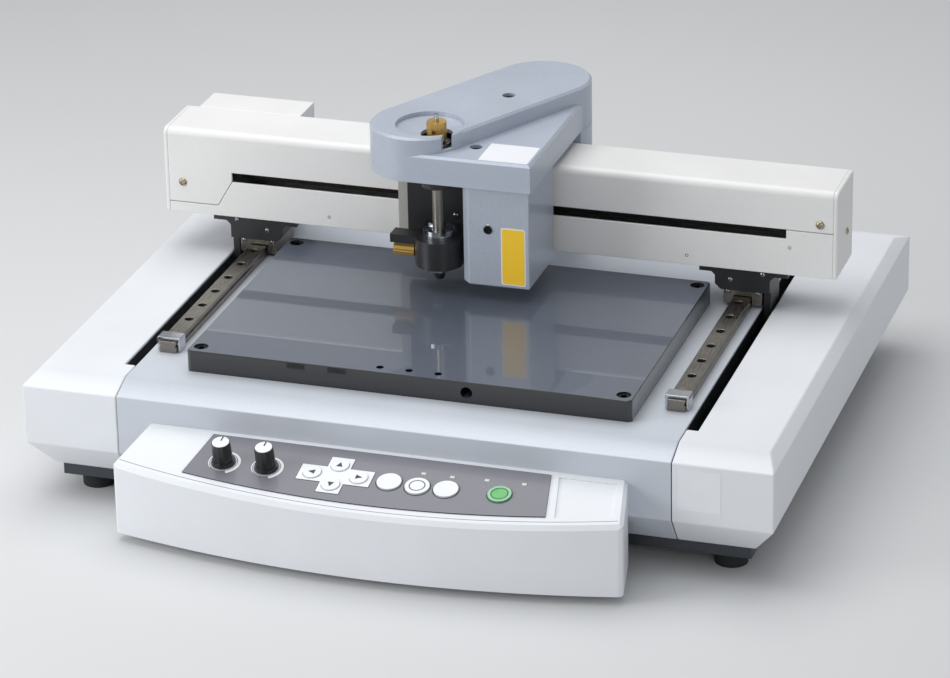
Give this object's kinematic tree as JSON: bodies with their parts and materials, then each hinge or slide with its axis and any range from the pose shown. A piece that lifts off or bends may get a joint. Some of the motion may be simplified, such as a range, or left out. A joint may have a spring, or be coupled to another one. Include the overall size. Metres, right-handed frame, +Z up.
{
  "type": "desktop flatbed engraving machine",
  "caption": "Desktop flatbed engraver: a gantry on floor rails carries a belt driven engraving head over a flat table, with a sloping control panel in front.",
  "frame": {"origin": "middle of the whole machine's rectangle on the floor, under the rubber feet", "axes": "+X to the machine's right along the gantry beam, +Y from the control panel to the back, +Z up"},
  "size_m": [0.511, 0.473, 0.229],
  "materials": {
    "white_shell": "moulded plastic with a fine spark-eroded grain",
    "silver_sheet": "powder coated steel sheet, pale silver",
    "beam_paint": "smooth powder coat, pale warm grey",
    "head_paint": "metallic silver-blue paint",
    "slate_table": "dark slate coating, polished",
    "dark_screw": "blackened cap screws",
    "zinc_plate": "dark zinc plated sheet",
    "foot_rubber": "moulded rubber",
    "guide_steel": "ground bearing steel",
    "bright_chrome": "bright chrome plate",
    "grey_film": "printed polyester film, satin",
    "circuit_board": "coated circuit board",
    "lamp_plastic": "diffusing lamp plastic",
    "black_plastic": "black moulded plastic",
    "belt_rubber": "toothed belt rubber",
    "motor_black": "black painted motor case",
    "turned_aluminium": "turned and anodised aluminium",
    "black_casting": "satin black paint on a casting",
    "beige_plate": "beige passivated plate",
    "cutter_steel": "ground tool steel",
    "brass": "turned brass, knurled",
    "bright_steel": "machined steel, nickel plated",
    "knob_black": "black knob with a white pointer cap",
    "green_plastic": "green translucent key",
    "key_white": "white keys with a satin face"
  },
  "bodies": {
    "base": {"chassis": "zinc_plate", "deck_panel": "silver_sheet", "side_cover_left": "white_shell", "side_cover_right": "white_shell", "work_table": "slate_table", "table_screws": "dark_screw", "linear_rails": "guide_steel", "rail_stops": "bright_chrome", "rubber_feet": "foot_rubber", "panel_housing": "white_shell", "panel_overlay": "grey_film", "panel_board": "circuit_board", "status_lamps": "lamp_plastic", "y_belts": "belt_rubber", "y_motor": "motor_black", "electronics": "circuit_board", "rear_sockets": "black_plastic"},
    "gantry": {"beam_frame": "turned_aluminium", "beam_top_cover": "beam_paint", "beam_front_plate": "beam_paint", "beam_end_caps": "beam_paint", "gantry_brackets": "black_casting", "rail_blocks": "guide_steel", "x_rail": "guide_steel", "x_motor": "motor_black", "x_motor_cover": "beam_paint", "x_belt": "belt_rubber"},
    "carriage": {"carriage_plate": "beige_plate", "x_rail_block": "guide_steel", "z_guide_rail": "guide_steel"},
    "head": {"head_casting": "black_casting", "belt_cover": "head_paint", "head_box": "head_paint", "motor_shroud": "head_paint", "spindle_motor": "motor_black", "z_motor": "motor_black", "z_slide_block": "guide_steel", "spindle_belt": "belt_rubber", "ring_nuts": "bright_steel", "depth_nose": "black_plastic"},
    "spindle": {"spindle_sleeve": "guide_steel", "cutter_holder": "brass", "cutter": "cutter_steel"},
    "motor_pulley": {"motor_pulley": "turned_aluminium"},
    "cross_shaft": {"cross_shaft": "turned_aluminium"},
    "y_idlers": {"y_idlers": "turned_aluminium"},
    "x_drive_pulley": {"x_drive_pulley": "turned_aluminium"},
    "x_idler_pulley": {"x_idler_pulley": "turned_aluminium"},
    "z_screw": {"z_screw": "guide_steel"},
    "clamp_thumbscrew": {"clamp_thumbscrew": "brass"},
    "rpm_knob": {"rpm_knob": "knob_black"},
    "speed_knob": {"speed_knob": "knob_black"},
    "arrow_key_left": {"arrow_key_left": "key_white"},
    "arrow_key_right": {"arrow_key_right": "key_white"},
    "arrow_key_back": {"arrow_key_back": "key_white"},
    "arrow_key_front": {"arrow_key_front": "key_white"},
    "round_key_left": {"round_key_left": "key_white"},
    "round_key_middle": {"round_key_middle": "key_white"},
    "round_key_right": {"round_key_right": "key_white"},
    "green_key": {"green_key": "green_plastic"}
  },
  "joints": [
    {"name": "gantry_travel", "type": "slide", "parent": "base", "child": "gantry", "axis": [0, 1, 0], "range_m": [-0.148, 0.055]},
    {"name": "carriage_travel", "type": "slide", "parent": "gantry", "child": "carriage", "axis": [1, 0, 0], "range_m": [-0.1283, 0.1767]},
    {"name": "head_lift", "type": "slide", "parent": "carriage", "child": "head", "axis": [0, 0, 1], "range_m": [0, 0.03]},
    {"name": "spindle_turn", "type": "hinge", "parent": "head", "child": "spindle", "pos_m": [-0.0242, 0.0135, 0.13], "axis": [0, 0, 1], "continuous": true},
    {"name": "motor_turn", "type": "hinge", "parent": "head", "child": "motor_pulley", "pos_m": [0.0185, 0.1385, 0.2], "axis": [0, 0, 1], "continuous": true},
    {"name": "cross_shaft_turn", "type": "hinge", "parent": "base", "child": "cross_shaft", "pos_m": [0, 0.2, 0.056], "axis": [1, 0, 0], "continuous": true},
    {"name": "front_idlers_turn", "type": "hinge", "parent": "base", "child": "y_idlers", "pos_m": [0, -0.143, 0.056], "axis": [1, 0, 0], "continuous": true},
    {"name": "cross_drive_turn", "type": "hinge", "parent": "gantry", "child": "x_drive_pulley", "pos_m": [-0.208, 0.067, 0.1481], "axis": [0, 1, 0], "continuous": true},
    {"name": "cross_idler_turn", "type": "hinge", "parent": "gantry", "child": "x_idler_pulley", "pos_m": [0.222, 0.067, 0.1481], "axis": [0, 1, 0], "continuous": true},
    {"name": "lift_screw_turn", "type": "hinge", "parent": "head", "child": "z_screw", "pos_m": [0.024, 0.022, 0.15], "axis": [0, 0, 1], "continuous": true},
    {"name": "clamp_turn", "type": "hinge", "parent": "head", "child": "clamp_thumbscrew", "pos_m": [-0.048, 0.0135, 0.129], "axis": [-1, 0, 0], "range_deg": [0, 360]},
    {"name": "rpm_knob_turn", "type": "hinge", "parent": "base", "child": "rpm_knob", "pos_m": [-0.1023, -0.2038, 0.06676], "axis": [0, -0.2249, 0.9744], "range_deg": [-150, 150]},
    {"name": "speed_knob_turn", "type": "hinge", "parent": "base", "child": "speed_knob", "pos_m": [-0.0728, -0.2038, 0.06676], "axis": [0, -0.2249, 0.9744], "range_deg": [-150, 150]},
    {"name": "arrow_key_left_press", "type": "slide", "parent": "base", "child": "arrow_key_left", "axis": [0, 0.2249, -0.9744], "range_m": [0, 0.0008], "stiffness_N_per_m": 300},
    {"name": "arrow_key_right_press", "type": "slide", "parent": "base", "child": "arrow_key_right", "axis": [0, 0.2249, -0.9744], "range_m": [0, 0.0008], "stiffness_N_per_m": 300},
    {"name": "arrow_key_back_press", "type": "slide", "parent": "base", "child": "arrow_key_back", "axis": [0, 0.2249, -0.9744], "range_m": [0, 0.0008], "stiffness_N_per_m": 300},
    {"name": "arrow_key_front_press", "type": "slide", "parent": "base", "child": "arrow_key_front", "axis": [0, 0.2249, -0.9744], "range_m": [0, 0.0008], "stiffness_N_per_m": 300},
    {"name": "round_key_left_press", "type": "slide", "parent": "base", "child": "round_key_left", "axis": [0, 0.2249, -0.9744], "range_m": [0, 0.0008], "stiffness_N_per_m": 300},
    {"name": "round_key_middle_press", "type": "slide", "parent": "base", "child": "round_key_middle", "axis": [0, 0.2249, -0.9744], "range_m": [0, 0.0008], "stiffness_N_per_m": 300},
    {"name": "round_key_right_press", "type": "slide", "parent": "base", "child": "round_key_right", "axis": [0, 0.2249, -0.9744], "range_m": [0, 0.0008], "stiffness_N_per_m": 300},
    {"name": "green_key_press", "type": "slide", "parent": "base", "child": "green_key", "axis": [0, 0.2249, -0.9744], "range_m": [0, 0.0008], "stiffness_N_per_m": 300}
  ],
  "couplings": [
    {"joint": "motor_turn", "follows": "spindle_turn", "ratio": 1.3205},
    {"joint": "cross_shaft_turn", "follows": "gantry_travel", "rad_per_m": -97.087},
    {"joint": "front_idlers_turn", "follows": "gantry_travel", "rad_per_m": -97.087},
    {"joint": "cross_drive_turn", "follows": "carriage_travel", "rad_per_m": 97.087},
    {"joint": "cross_idler_turn", "follows": "carriage_travel", "rad_per_m": 97.087},
    {"joint": "lift_screw_turn", "follows": "head_lift", "rad_per_m": 1570.8}
  ]
}
